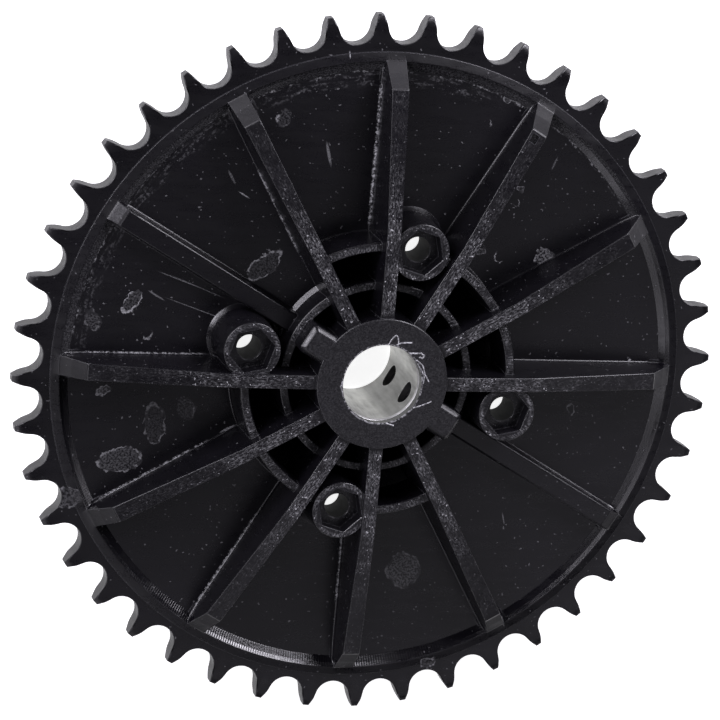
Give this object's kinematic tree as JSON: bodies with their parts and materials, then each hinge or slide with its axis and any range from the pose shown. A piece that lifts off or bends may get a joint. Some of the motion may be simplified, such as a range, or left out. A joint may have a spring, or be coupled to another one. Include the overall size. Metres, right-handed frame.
{
  "type": "motorcycle rear chain sprocket",
  "caption": "Ribbed moulded-plastic rear chain sprocket with hexagonal nut pockets around a hub that carries a moulded-in metal sleeve.",
  "frame": {"origin": "on the bore axis, at the back end of the hub", "axes": "+Z along the bore towards the ribbed front; +X along a full-height rib; +Y is a quarter turn anticlockwise from +X seen from the front"},
  "size_m": [0.1836, 0.1836, 0.0315],
  "materials": {
    "black_plastic": "black moulded plastic with a slight sheen, fine scuffs on the rib tops and pale residue marks",
    "sleeve_metal": "satin machined steel tube"
  },
  "bodies": {
    "root": {"sprocket_body": "black_plastic", "hub_sleeve": "sleeve_metal"}
  },
  "joints": []
}
